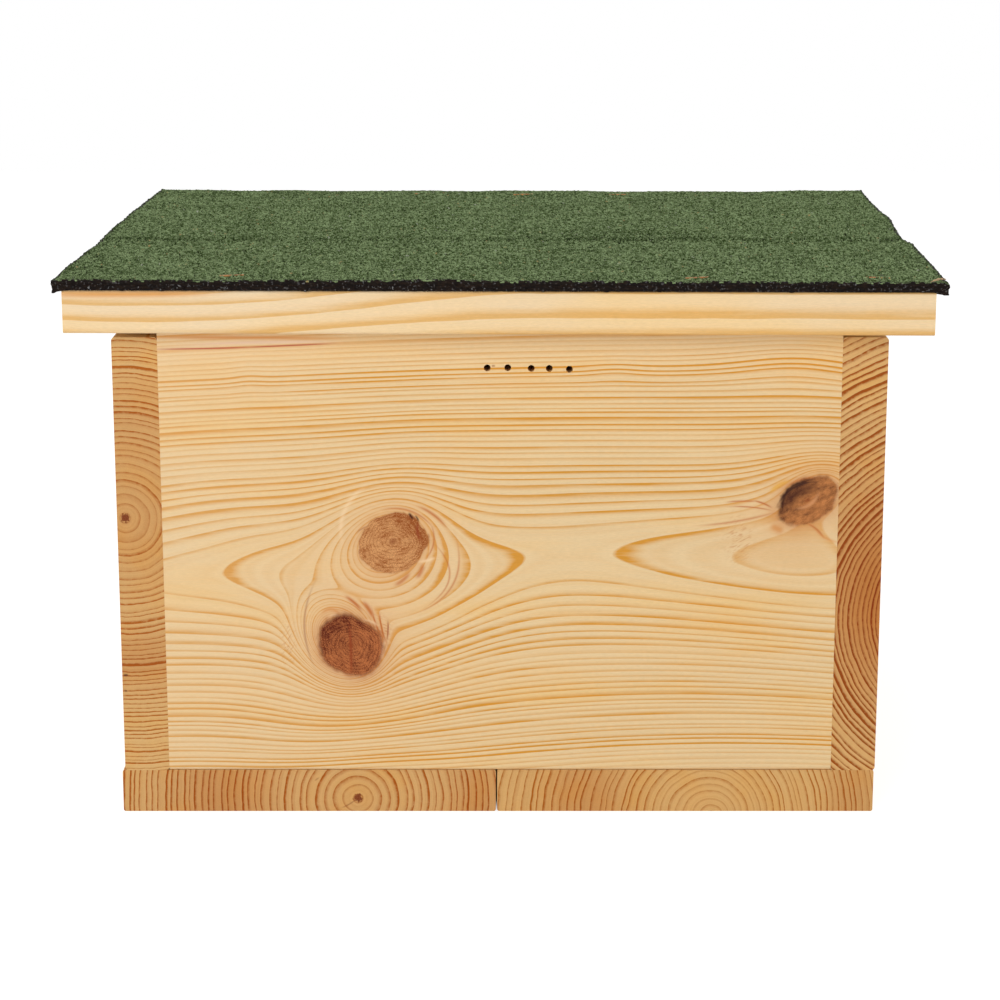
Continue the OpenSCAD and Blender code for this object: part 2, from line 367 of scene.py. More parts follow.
# Planed pine: each ring darkens to a thin hard line on its outer side. Rings differ in strength one
# by one and in zones, with faint false rings between; fibres, pores and resin dashes run along
# the trunk. Slant is 1 where a face cuts the rings squarely and near 0 where it only grazes them
surface_takes = {
    "Ring": "number", "Place": "place", "End": "number", "Slant": "number", "Start": "number",
    "Strength": "number", "Face": "colour", "FaceLine": "colour", "EndFace": "colour",
    "EndLine": "colour", "Seed": "number",
}
surface_gives = {"Colour": "colour", "Roughness": "number", "Height": "number"}
planed_pine, surface_in, surface_out = new_effect("planed_pine", surface_takes, surface_gives)
(
    pine_ring, pine_place, pine_end, pine_slant, pine_start, pine_strength,
    pine_face, pine_face_line, pine_end_face, pine_end_line, pine_seed,
) = surface_in
# The dark line is fullest just inside each ring's outer side, and ends within a thirtieth of a ring
line_peak = 0.97
pine_share = pine_ring.math("FRACT")
pine_tone = dice(pine_ring.math("FLOOR") + pine_seed)
pine_zone = line_noise(pine_ring * 0.13 + pine_seed * 3.1, 1.0)
false_rings = line_noise(pine_ring * 3.3 + pine_seed, 2.0)
line_width = (1.0 - pine_start) * (pine_slant * 0.8 + 0.2) * (pine_tone * 0.7 + 0.65)
line_rise = pine_share.rise(line_peak - line_width, line_peak)
pine_line = line_rise * (1.0 - pine_share.rise(0.965, 1.0))
fibre = noise(pine_place, (0.05, 2.3, 2.3), 3.0, 0.6, pine_seed)
pore = noise(pine_place, (0.35, 2.8, 2.8), 2.0, 0.7, pine_seed + 2.0)
blotch = noise(pine_place, (0.012, 0.05, 0.05), 2.0, 0.5, pine_seed + 4.0)
streak = noise(pine_place, (0.02, 0.45, 0.45), 3.0, 0.6, pine_seed + 6.0)
line_power = (pine_tone * 0.75 + 0.35 + pine_zone * 1.3).math("MAXIMUM", pine_end * 0.4 + 0.12)
line_power = line_power * pine_strength * (streak * 2.4 + 1.0)
late_wood = pine_share * pine_share * 0.26
line_share = pine_line * line_power + late_wood + fibre * 0.30
line_share = (line_share + false_rings * 0.40 + streak * 0.20).clipped()
face_colour = tint(line_share, pine_face, pine_face_line)
end_colour = tint(line_share, pine_end_face, pine_end_line)
pine_colour = tint(pine_end, face_colour, end_colour)
pine_colour = tint((pine_zone + blotch).rise(-0.05, 0.4) * 0.6, pine_colour, (255, 242, 205), "MULTIPLY")
pine_colour = tint((blotch - pine_zone).rise(0.0, 0.4) * 0.4, pine_colour, (252, 238, 212), "MULTIPLY")
pine_colour = shade(pine_colour, 1.0 + fibre * 0.14 + pore * 0.26 + blotch * 0.10)
pine_rough = 0.52 + fibre * 0.12 - pine_line * 0.08 + pine_end * 0.15
plug(planed_pine, pine_colour, surface_out.inputs["Colour"])
plug(planed_pine, pine_rough, surface_out.inputs["Roughness"])
plug(planed_pine, fibre * 0.4 + pore * 0.5, surface_out.inputs["Height"])

# A branch cut through: its own crowded rings, broken and dotted with dark pores, round a small
# heart. One side is darker and hard edged, the other fades into the wood, and where the bark has
# shrunk away a crescent is open, with painted shade near black in it
knot_takes = {
    "Across": "number", "Up": "number", "Radius": "number", "Oval": "number", "Rings": "number",
    "Core": "colour", "Dark": "colour", "Speck": "number", "SideX": "number", "SideZ": "number",
    "Crescent": "number", "Soft": "number", "Seed": "number",
}
knot_gives = {"Mask": "number", "Colour": "colour", "Away": "number"}
branch_knot, knot_in, knot_out = new_effect("branch_knot", knot_takes, knot_gives)
(
    knot_across, knot_up, knot_radius, knot_oval, knot_rings, knot_core, knot_dark,
    knot_speck, knot_side_x, knot_side_z, knot_open, knot_soft, knot_seed,
) = knot_in
knot_place = place_of(branch_knot, knot_across, knot_up, 0.0)
knot_wave = noise(knot_place, (0.11, 0.11, 1.0), 2.0, 0.5, knot_seed)
knot_rough = noise(knot_place, (0.45, 0.45, 1.0), 2.0, 0.6, knot_seed + 4.0)
knot_grit = noise(knot_place, (2.2, 2.2, 1.0), 1.0, 0.7, knot_seed + 1.0)
knot_flame = noise(knot_place, (0.2, 0.33, 1.0), 3.0, 0.65, knot_seed + 2.0)
knot_wide = knot_across / knot_oval
knot_away = far(knot_wide, knot_up) + knot_wave * 4.0 + knot_rough * 1.1
knot_past = knot_away - knot_radius
knot_side = (knot_wide * knot_side_x + knot_up * knot_side_z) / knot_radius
knot_edge = knot_away / knot_radius
knot_ring = (knot_away / knot_rings + knot_wave * 0.8).math("FRACT")
knot_break = (knot_rough * 2.0 + 0.8).math("MAXIMUM", 0.2)
knot_line = knot_ring.rise(0.3, 0.85) * (1.0 - knot_ring.rise(0.85, 1.0)) * knot_break
knot_grain = (knot_line * 0.42 + knot_grit * 1.5) * knot_speck
knot_share = 0.24 + knot_flame * 2.0 + knot_side.rise(-0.1, 0.95) * 0.6 + knot_grain
knot_share = (knot_share + knot_edge.rise(0.75, 1.0) * 0.15).clipped()
knot_colour = tint(knot_share, knot_core, knot_dark)
knot_dots = knot_grit.rise(0.05, 0.2) * (knot_line * 0.5 + 0.3) * knot_speck
knot_colour = tint(knot_dots, knot_colour, shade(knot_dark, 0.7))
knot_pale = (-knot_grit).rise(0.05, 0.22) * (knot_ring.bell(0.1, 0.35) * 0.6 + 0.9)
knot_colour = tint(knot_pale * knot_speck * 0.5, knot_colour, shade(knot_core, 1.3))
knot_colour = tint(knot_edge.bell(0.0, 0.09) * 0.7, knot_colour, (128, 58, 22))
# Painted shade: the open crescent by the bark is darkened to near black
knot_crescent_shade = knot_side.rise(0.45, 0.8) * knot_edge.bell(0.88, 0.08) * knot_open
knot_colour = tint(knot_crescent_shade, knot_colour, (22, 8, 3))
knot_mask = 1.0 - knot_past.rise(-knot_soft, knot_soft * 0.8)
plug(branch_knot, knot_mask, knot_out.inputs["Mask"])
plug(branch_knot, knot_colour, knot_out.inputs["Colour"])
plug(branch_knot, knot_past, knot_out.inputs["Away"])

# A single mark in the grain: a thin bowed stroke, tapered at both ends. Run and Side turn the place
# (x, z, 1) into t along the stroke, from -1 to 1, and s across it in widths, bowed by Bow * t^2. The
# mask is exp(-(s^2 + t^4))
mark_takes = {"Place": "place", "Run": "place", "Side": "place", "Bow": "number"}
grain_mark, (mark_place, mark_run, mark_side, mark_bow), mark_out = new_effect(
    "grain_mark", mark_takes, {"Mask": "number"},
)
mark_along = dotted(mark_place, mark_run)
mark_square = mark_along * mark_along
mark_across = mark_square.math("MULTIPLY_ADD", mark_bow, dotted(mark_place, mark_side))
mark_far = mark_across.math("MULTIPLY_ADD", mark_across, mark_square * mark_square)
plug(grain_mark, (-mark_far).exp(), mark_out.inputs["Mask"])


def start_material(name):
    """A material with only its Principled shader and its end left in it."""
    material = bpy.data.materials.new(name)
    material.use_nodes = True
    tree = material.node_tree
    tree.nodes.clear()
    shader = tree.nodes.new("ShaderNodeBsdfPrincipled")
    end = tree.nodes.new("ShaderNodeOutputMaterial")
    tree.links.new(shader.outputs[0], end.inputs["Surface"])
    return material, tree, shader


def object_place(tree, pith=(0.0, 0.0, 0.0), turn=(0.0, 0.0, 0.0)):
    """The place in millimetres, as the object has it or, in a trunk, with x along the pith."""
    coordinates = tree.nodes.new("ShaderNodeTexCoord")
    mapping = tree.nodes.new("ShaderNodeMapping")
    mapping.vector_type = "TEXTURE"
    mapping.inputs["Location"].default_value = [part / 1000.0 for part in pith]
    mapping.inputs["Rotation"].default_value = [math.radians(part) for part in turn]
    mapping.inputs["Scale"].default_value = (0.001, 0.001, 0.001)
    tree.links.new(coordinates.outputs["Object"], mapping.inputs["Vector"])
    return Formula(tree, mapping.outputs[0])


def face_normal(tree):
    """The x, y and z of the face's normal, as three Formulas."""
    return parts_of(Formula(tree, tree.nodes.new("ShaderNodeTexCoord").outputs["Normal"]))


def add_bump(tree, shader, height, strength, deep):
    """Bends the shader's normal by a height, in which 1 stands for deep metres."""
    bump = tree.nodes.new("ShaderNodeBump")
    bump.inputs["Strength"].default_value = strength
    bump.inputs["Distance"].default_value = deep
    plug(tree, height, bump.inputs["Height"])
    tree.links.new(bump.outputs[0], shader.inputs["Normal"])


def finish_wood(tree, shader, colour, wood):
    """Feeds the shader with a colour and the wood's own roughness and bump, 0.1 mm deep at most."""
    plug(tree, colour, shader.inputs["Base Color"])
    plug(tree, wood["Roughness"], shader.inputs["Roughness"])
    shader.inputs["Specular IOR Level"].default_value = 0.15
    add_bump(tree, shader, wood["Height"], 0.5, 0.0001)


pale_face = (230, 196, 141)
amber_line = (205, 137, 48)
end_face = (210, 166, 108)
end_line = (156, 82, 14)
stain_brown = (222, 178, 138)


def slant_of(normal_y, normal_z, y, z):
    """How squarely a face cuts the rings: the sine of the angle between its normal and the radius."""
    along = (normal_y * y + normal_z * z) / (y * y + z * z + 1.0).sqrt()
    return (1.0 - along * along).math("MAXIMUM", 0.01).sqrt()


def add_marks(tree, colour, x, z, marks):
    """Draws strokes: marks holds lists of (x, z, x, z, bow, half width, strength) by their colour."""
    spot = place_of(tree, x, z, 1.0)
    for mark_colour, strokes in marks:
        share = None
        for from_x, from_z, to_x, to_z, bow, width, strength in strokes:
            half = math.hypot(to_x - from_x, to_z - from_z) / 2.0
            along_x, along_z = (to_x - from_x) / half / 2.0, (to_z - from_z) / half / 2.0
            mid_x, mid_z = (from_x + to_x) / 2.0, (from_z + to_z) / 2.0
            run = (along_x / half, along_z / half, -(mid_x * along_x + mid_z * along_z) / half)
            side = (-along_z / width, along_x / width, (mid_x * along_z - mid_z * along_x - bow) / width)
            mark = use_effect(tree, grain_mark, Place=spot, Run=run, Side=side, Bow=bow / width)
            mask = mark["Mask"] * strength
            share = mask if share is None else share.math("MAXIMUM", mask)
        colour = tint(share, colour, mark_colour)
    return colour


def fading(knot, reach):
    """1 on a knot, falling away round it to about a third at the reach."""
    return (knot["Away"].math("MAXIMUM", 0.0) / -reach).exp()


def pine_board(
    name, pith, turn, rings=(4.0, 2.4, 30.0), lean=0.0, bend=6.0, uneven=0.7, start=0.62,
    strength=0.9, seed=1.0, face=pale_face, face_line=amber_line, sawn=end_face, sawn_line=end_line,
    pith_star=0.0, stains=(), knots=(), marks=(),
):
    """A material for one board: pith is a point on the trunk's middle line and turn is how that line lies.

    Rings are the first width, the settled width and how soon they settle. Each stain is (x, z, half
    width, half height, share) on the sawn end. Each knot is (along, across, radius, oval, core colour,
    dark colour), and pushes the rings around it."""
    material, tree, shader = start_material(name)
    place = object_place(tree, pith, turn)
    normal = face_normal(tree)
    lengthwise = abs(turn[2]) < 45
    end = normal[0 if lengthwise else 1].math("ABSOLUTE").rise(0.5, 0.8)
    ring = use_effect(
        tree, growth_rings, Place=place, FirstWidth=rings[0], Width=rings[1], Settle=rings[2],
        Lean=lean, Bend=bend, Uneven=uneven, Seed=seed,
    )["Ring"]
    x, y, z = parts_of(place)
    from_pith = far(y, z)
    slant = slant_of(normal[1] if lengthwise else -normal[0], normal[2], y, z)
    made = []
    for number, (along, across, radius, oval, core, dark) in enumerate(knots):
        knot = use_effect(
            tree, branch_knot, Across=x - along, Up=z - across, Radius=radius, Oval=oval, Rings=1.2,
            Core=core, Dark=dark, Speck=0.8, SideX=-0.6, SideZ=-0.8, Crescent=0.2, Soft=0.8,
            Seed=seed + number * 2.3,
        )
        made.append(knot)
        ring = ring - fading(knot, radius * 1.1) * (radius * 0.42)
    strength = (from_pith.rise(4.0, 50.0) * 0.7 + 0.3) * strength
    wood = use_effect(
        tree, planed_pine, Ring=ring, Place=place, End=end, Slant=slant, Start=start, Strength=strength,
        Face=face, FaceLine=face_line, EndFace=sawn, EndLine=sawn_line, Seed=seed,
    )
    colour = wood["Colour"]
    if stains or marks:
        spot_x, spot_y, spot_z = parts_of(object_place(tree))
        for stain_x, stain_z, half_x, half_z, share in stains:
            stain = spot_x.bell(stain_x, half_x) * spot_z.bell(stain_z, half_z) * end * share
            colour = tint(stain, colour, stain_brown, "MULTIPLY")
        if marks:
            colour = tint(end, colour, add_marks(tree, colour, spot_x, spot_z, marks))
    if pith_star:
        star = noise(place, (0.02, 0.8, 0.8), 2.0, 0.7, seed) * 4.5
        middle = 1.0 - (from_pith + star - pith_star).rise(-0.4, 0.5)
        speck = noise(place, (0.1, 2.0, 2.0), 1.0, 0.5, seed + 1.0)
        colour = tint(middle * end * (0.95 + speck * 0.3), colour, (118, 52, 22))
    for knot in made:
        colour = tint(fading(knot, 2.5) * 0.45 * (1.0 - end), colour, (196, 138, 82))
        colour = tint(knot["Mask"] * (1.0 - end), colour, knot["Colour"])
    finish_wood(tree, shader, colour, wood)
    return material


def dress(node, material):
    """Gives a CAD node's object a material in every slot."""
    made = nodes[node]
    if not made.data.materials:
        made.data.materials.append(material)
    for slot in made.material_slots:
        slot.material = material


# Floor boards
# Two planed planks lie side by side from the vent wall to the entrance wall, with a narrow
# gap between them. Their sawn ends show at the front, and the walls are screwed down to them.
dress("floor_board_left", pine_board(
    "floor_left_pine", (-64.6, -152.0, 6.2), (0.0, 0.0, 91.3), rings=(4.5, 2.5, 40.0), lean=-0.02,
    bend=2.0, uneven=0.9, start=0.58, strength=1.35, seed=11.0, sawn_line=(162, 84, 16), pith_star=1.8,
    stains=[(-126.0, 8.0, 22.0, 30.0, 0.5), (-10.0, 8.0, 12.0, 30.0, 0.4)],
    marks=[((132, 66, 34), [
        (-65.8, 5.4, -71.6, 1.8, 0.3, 0.3, 0.6), (-84.0, 14.6, -82.4, 16.0, 0.0, 0.3, 0.5),
    ])],
))
dress("floor_board_right", pine_board(
    "floor_right_pine", (96.7, -152.0, -2.0), (0.0, 0.0, 89.0), rings=(3.3, 2.9, 60.0), lean=-0.12,
    bend=2.0, uneven=0.9, start=0.66, strength=1.15, seed=14.0, sawn=(214, 171, 110),
    sawn_line=(168, 96, 24), stains=[(38.0, 8.0, 22.0, 30.0, 0.5), (160.0, 8.0, 12.0, 30.0, 0.4)],
))

# Side boards
# Each side wall is one wide plank that stands on the floor boards, between floor and lid.
# It covers the ends of the vent and entrance panels, and its own sawn end faces the front.
brown_core = (184, 120, 72)
brown_dark = (112, 60, 32)
dress("side_board_left", pine_board(
    "side_left_pine", (-166.4, 0.0, 137.4), (0.0, 0.0, 90.0), rings=(4.3, 1.7, 50.0),
    bend=2.0, uneven=1.0, start=0.58, strength=1.2, seed=21.0, sawn=(214, 174, 115),
    sawn_line=(170, 94, 26), pith_star=1.9,
    stains=[
        (-160.0, 72.0, 40.0, 16.0, 0.5), (-160.0, 137.0, 40.0, 38.0, 0.45),
        (-160.0, 185.0, 30.0, 20.0, 0.3),
    ],
    marks=[((74, 40, 30), [
        (-169.4, 64.6, -167.4, 64.7, 0.0, 0.5, 0.9), (-169.2, 57.2, -168.0, 57.2, 0.0, 0.4, 0.8),
    ])],
    knots=[
        (62.0, -54.0, 11.0, 1.2, brown_core, brown_dark), (-84.0, 22.0, 8.0, 1.3, brown_core, brown_dark),
    ],
))
dress("side_board_right", pine_board(
    "side_right_pine", (215.0, 0.0, 91.0), (0.0, 0.0, 90.0), rings=(0.6, 3.5, 75.0),
    bend=3.0, start=0.44, strength=1.25, seed=26.0, sawn=(216, 174, 114),
    sawn_line=(152, 76, 16), stains=[(168.0, 102.0, 26.0, 52.0, 1.0)],
    knots=[(-40.0, 40.0, 10.0, 1.25, brown_core, brown_dark)],
))

# Vent panel
# One plank with level grain closes this end of the box. Its pith ran about 50 mm behind the face.
# Three branches were cut through, and five vent holes were drilled near the upper edge.
# The level of the pith line at x is height + slope * x + sag * x^2 + turn * x^3, in millimetres
vent_ridge = {"height": 117.66, "slope": 0.0413, "sag": -0.00017, "turn": -0.0000003}
vent_pith_depth = 56.5
vent_ring_width = 1.994
vent_front = -152.5
vent_first_ring = 3.32
# Counted from the pith, one ring by the holes is bold and the rings above them are faint
vent_bold_ring = 25.4
vent_faint_ring = 31.5
# Where the rings swell round the branches: how many rings, reach, stretch, turn, centre x and z, sharpness
vent_pair = [(23.7, 11.3, 1.22, 0.80, -50.4, 126.7, 0.9), (25.0, 12.9, 1.25, -1.09, -71.9, 80.6, 1.66)]
vent_crease = 1.0
vent_swells = [
    (11.9, 11.4, 1.37, 0.03, 142.9, 152.7, 0.96),
    (3.6, 60.0, 3.65, -0.84, -76.5, 87.0, 1.03),
    (3.7, 25.7, 2.42, 0.65, -55.0, 68.0, 2.0),
    (3.8, 45.3, 4.0, -0.36, 169.7, 90.3, 2.0),
]
# Small waves in the grain near the upper edge: how many rings, centre x and z, half widths
vent_waves = [
    (0.36, -110.4, 200.8, 7.5, 9.7), (0.51, 50.4, 203.7, 12.0, 5.4), (1.69, 129.8, 208.3, 30.0, 12.0),
    (0.5, -148.0, 111.0, 26.0, 12.0),
]
# Marks in the grain and painted sheen, by colour: from x, z to x, z, bow, half width, strength
vent_marks = [
    ((214, 150, 88), [
        (-150.7, 218.7, -74.3, 218.3, 0.0, 0.8, 0.9), (-80.0, 93.2, -71.7, 93.2, 2.2, 1.0, 0.8),
        (139.6, 132.8, 149.4, 126.4, -1.0, 0.6, 0.8), (120.5, 133.8, 125.7, 131.2, 0.0, 1.8, 0.9),
    ]),
    ((228, 172, 76), [(119.8, 149.5, 128.0, 154.2, 0.7, 1.1, 0.9)]),
    ((230, 200, 180), [(-134.0, 215.4, -75.0, 216.6, 0.4, 0.7, 0.7)]),
    ((188, 104, 50), [
        (-68.8, 101.3, -62.2, 95.0, 0.4, 0.8, 0.9), (-61.1, 98.7, -56.7, 91.8, 0.3, 1.0, 0.9),
        (-57.3, 95.5, -52.1, 81.1, -0.8, 0.4, 0.9), (-53.9, 93.4, -51.0, 79.9, -0.6, 0.4, 0.9),
        (-50.7, 141.6, -30.4, 133.9, 2.9, 0.45, 0.8), (-30.4, 133.9, -33.0, 118.7, 2.2, 0.4, 0.8),
        (-35.4, 142.4, -24.4, 133.9, 0.8, 0.7, 0.8), (-34.2, 116.0, -37.0, 110.0, 0.3, 1.1, 0.8),
        (-18.8, 125.2, -33.8, 95.0, 6.2, 0.5, 0.6), (-28.8, 125.2, -31.3, 97.7, 7.6, 0.45, 0.6),
        (-40.4, 112.0, -46.7, 106.6, 0.5, 0.9, 0.8), (-61.0, 125.4, -57.0, 129.4, 0.2, 0.9, 0.7),
        (126.7, 151.8, 148.9, 152.0, 3.4, 0.9, 0.9), (135.7, 135.1, 143.6, 128.9, 0.8, 0.5, 0.8),
        (101.0, 144.7, 113.3, 145.0, 0.2, 0.4, 0.8), (112.6, 145.2, 120.3, 142.2, 0.4, 0.45, 0.9),
        (103.0, 142.6, 119.8, 141.0, 0.5, 0.35, 0.8), (90.0, 134.0, 121.0, 139.6, -0.8, 0.5, 0.6),
    ]),
    ((150, 84, 58), [
        (-50.2, 89.6, -50.6, 81.6, 0.2, 0.35, 0.9), (-84.0, 105.0, -84.5, 71.0, -3.4, 0.5, 0.5),
        (139.5, 137.1, 146.0, 140.6, -0.4, 0.45, 0.8), (-63.4, 130.8, -57.6, 133.6, 0.6, 0.4, 0.7),
        (-3.6, 205.9, -2.2, 205.9, 0.0, 0.4, 0.8),
    ]),
    ((176, 74, 58), [
        (-149.8, 213.3, -107.1, 214.2, -0.1, 0.4, 0.9), (-112.0, 214.1, -75.2, 215.7, 0.0, 0.35, 0.9),
    ]),
    # Painted sheen: pale cream strokes beside the knots, mostly glints and sheen where the bent fibres
    # catch the light
    ((244, 214, 172), [
        (-60.5, 90.4, -55.0, 88.0, 0.4, 0.6, 0.8), (-51.6, 80.2, -52.8, 73.2, -0.8, 0.7, 0.8),
        (-36.9, 117.4, -29.2, 119.0, -0.4, 0.7, 0.8), (-77.0, 91.6, -71.0, 91.0, 1.4, 0.6, 0.6),
        (-60.0, 151.5, -70.5, 127.0, -4.0, 1.1, 0.45),
    ]),
]
# The drier, darker strokes laid over the knots themselves, and painted shade in their cracks
knot_marks = [
    # Painted shade, near black, in two small cracks of the upper left knot and in the open crescent of the
    # right knot
    ((48, 20, 12), [
        (-40.4, 139.6, -38.6, 136.8, 0.0, 0.55, 0.9), (-37.6, 138.4, -36.2, 136.0, 0.2, 0.4, 0.8),
        (123.8, 144.8, 139.6, 153.8, 2.4, 0.45, 0.9),
    ]),
    ((138, 54, 22), [
        (-36.5, 134.8, -35.6, 127.4, -0.6, 0.7, 0.8), (-67.4, 87.0, -67.0, 66.0, 0.3, 0.6, 0.7),
    ]),
    ((70, 32, 16), [(125.4, 142.2, 140.4, 151.2, 2.4, 2.4, 0.75)]),
    ((206, 146, 98), [(132.0, 141.6, 141.0, 148.2, -1.6, 0.8, 0.7)]),
]
# The knots: centre x and z, turn, radius, stretch, pale and dark colour, ring width, pores, the
# darker side as a direction, how far the crescent is open, softness of the edge, seed
vent_knots = [
    (-47.6, 126.3, 0.35, 13.4, 1.16, (206, 150, 96), (146, 76, 28), 1.5, 0.9, 0.75, 0.35, 0.0, 0.7, 41.0),
    (-66.8, 78.6, -0.75, 13.8, 1.10, (178, 104, 58), (90, 30, 4), 1.35, 1.0, -0.9, 0.1, 0.0, 1.7, 43.0),
    (136.4, 145.2, 0.50, 10.0, 1.45, (190, 122, 68), (76, 34, 14), 2.0, 0.28, -0.5, 0.85, 0.7, 1.0, 47.0),
]
# Places where the fibres dive in and show as short feathered strokes: x, z, half widths, lean
vent_feathers = [(-95.0, 79.0, 3.0, 8.5, 0.9), (-52.5, 86.0, 3.5, 8.0, -0.4), (106.0, 128.0, 6.0, 9.0, 0.5)]


def turned(x, z, centre_x, centre_z, turn):
    """Coordinates along and across an oval that is centred and turned on the face."""
    off_x = x - centre_x
    off_z = z - centre_z
    along = off_x * math.cos(turn) + off_z * math.sin(turn)
    across = off_z * math.cos(turn) - off_x * math.sin(turn)
    return along, across


def swell(x, z, rings, reach, stretch, turn, centre_x, centre_z, sharp):
    """How many rings a branch has lifted the grain by: rings times exp(-(distance / reach) ^ sharp)."""
    along, across = turned(x, z, centre_x, centre_z, turn)
    away = far(along / stretch, across) / reach
    return (-(away ** sharp)).exp() * rings


def vent_rings(x, above, depth, z):
    """The ring count on the vent panel.

    It is the distance from the pith line divided by the ring width, less a swell round each branch.
    Of the two neighbouring branches' swells a and b the larger counts: with the crease c this is
    (a + b + sqrt((a - b)^2 + c^2)) / 2. The small waves are added."""
    ring = (far(above, depth) - vent_pith_depth) / vent_ring_width + vent_first_ring
    first, second = [swell(x, z, *facts) for facts in vent_pair]
    ring = ring - (first + second + far(first - second, vent_crease)) * 0.5
    for facts in vent_swells:
        ring = ring - swell(x, z, *facts)
    for rings, centre_x, centre_z, half_x, half_z in vent_waves:
        ring = ring - x.bell(centre_x, half_x) * z.bell(centre_z, half_z) * rings
    return ring


def vent_material():
    """Pine with the vent panel's own rings, its three knots and the marks of the grain round them."""
    material, tree, shader = start_material("vent_panel_pine")
    place = object_place(tree)
    normal = face_normal(tree)
    x, y, z = parts_of(place)
    end = normal[0].math("ABSOLUTE").rise(0.5, 0.8)
    ridge = x * vent_ridge["turn"] + vent_ridge["sag"]
    above = z - (ridge * x + vent_ridge["slope"]) * x - vent_ridge["height"]
    depth = vent_pith_depth + vent_front - y
    ring = vent_rings(x, above, depth, z)
    knots = []
    close = 0.0
    wide_close = 0.0
    for centre_x, centre_z, turn, radius, oval, core, dark, *finish in vent_knots:
        rings, speck, side_x, side_z, crescent, soft, seed = finish
        along, across = turned(x, z, centre_x, centre_z, turn)
        knot = use_effect(
            tree, branch_knot, Across=along, Up=across, Radius=radius, Oval=oval, Rings=rings, Core=core,
            Dark=dark, Speck=speck, SideX=side_x, SideZ=side_z, Crescent=crescent, Soft=soft, Seed=seed,
        )
        knots.append((knot, core))
        close = fading(knot, 9.0) + close
        wide_close = fading(knot, 15.0) + wide_close
    # Lines run dark in the folds between the knots and fade where they dive in beside the right knot
    folds = x.bell(-22.0, 17.0) * z.bell(117.0, 17.0)
    dive = x.bell(112.0, 15.0) * z.bell(135.5, 6.0)
    strength = 0.8 + ring.bell(vent_bold_ring, 1.4) * 1.5 - ring.bell(vent_faint_ring, 3.0) * 0.35
    strength = strength + close * 0.3 + folds * 1.1
    strength = strength - (120.0 - z).rise(0.0, 40.0) * x.rise(-20.0, 60.0) * 0.2 - dive * 0.75
    # Forty rings more keep the count above 0, and small waves leave the middle of the face calm
    ring = ring + 39.95 + noise(place, (0.012, 0.07, 0.07), 2.0, 0.5, 31.0) * 0.22
    away = above.math("ABSOLUTE").rise(8.0, 40.0)
    ring = ring + line_noise(ring * 0.45 + 8.0, 1.0) * away * 0.9
    slant = slant_of(normal[1], normal[2], -depth, above).math("MAXIMUM", close * 0.9 + folds * 0.6)
    wood = use_effect(
        tree, planed_pine, Ring=ring, Place=place, End=end, Slant=slant, Start=0.3, Strength=strength,
        Face=(228, 200, 154), FaceLine=(209, 146, 52), EndFace=end_face, EndLine=end_line, Seed=31.0,
    )
    colour = tint((1.0 - x.rise(-150.0, -40.0)) * 0.2, wood["Colour"], (234, 202, 162))
    colour = tint((wide_close * 0.34).math("MINIMUM", 0.4), colour, (222, 166, 112))
    for centre_x, centre_z, half_x, half_z, lean in vent_feathers:
        window = x.bell(centre_x, half_x) * z.bell(centre_z, half_z)
        along, across = turned(x, z, centre_x, centre_z, lean)
        feather = noise(place_of(tree, along, across, 0.0), (0.35, 1.5, 1.0), 1.0, 0.5, centre_x)
        colour = tint(feather.rise(0.0, 0.2) * window * 0.7, colour, (196, 128, 76))
    colour = add_marks(tree, colour, x, z, vent_marks)
    for knot, core in knots:
        colour = tint(fading(knot, 3.0) * 0.5, colour, core)
        colour = tint(knot["Mask"], colour, knot["Colour"])
    colour = add_marks(tree, colour, x, z, knot_marks)
    finish_wood(tree, shader, colour, wood)
    return material


dress("vent_panel", vent_material())

# Entrance panel
# The opposite end wall is one plank like the vent panel, with the hedgehog's entrance sawn out
# of its lower edge and rounded at the upper corners.
dress("entrance_panel", pine_board(
    "entrance_pine", (0.0, 190.0, 96.0), (0.0, 1.5, -3.0), rings=(3.0, 2.2, 40.0), bend=14.0,
    start=0.45, strength=0.85, seed=51.0, knots=[(88.0, 44.0, 10.0, 1.15, brown_core, brown_dark)],
))

# Partition
# A short plank stands across the box inside, from the entrance wall almost to the vent wall, and
# makes a passage of the entrance side.
dress("partition_board", pine_board(
    "partition_pine", (22.0, 0.0, 92.0), (0.0, 2.0, 94.0), rings=(3.0, 2.3, 40.0), bend=10.0,
    start=0.5, strength=0.85, seed=57.0,
))

# Roof boards
# Two wide boards lie edge to edge and make the lid. The first one's long edge shows over the
# vent panel, below the felt.
roof_front = -170.0
roof_pith = {"y": -120.0, "z": 300.0}
roof_marks = [((218, 156, 88), [(-196.0, 239.8, -122.0, 240.6, -0.4, 1.5, 0.9)])]


def roof_rings(x, y, z):
    """The ring count in the front roof board, counted downwards from the pith above it.

    One hard line crosses the front edge at the level c, which climbs to the right. Other rings lie
    one ring width apart, measured along the radius."""
    level = 221.3 + x.rise(-150.0, 20.0) * 9.0 + x.bell(-188.0, 16.0) * 0.8
    wide = 6.9 + x.rise(-90.0, 20.0) * (z - level).rise(-2.0, 2.0) * 3.6
    radius = far(roof_pith["z"] - z, y - roof_pith["y"])
    radius = radius - far(roof_pith["z"] - level, roof_front - roof_pith["y"])
    return radius / (wide * 0.82) + 3.0 - z.rise(236.0, 240.0) * (1.0 - x.rise(-130.0, -80.0)) * 0.36


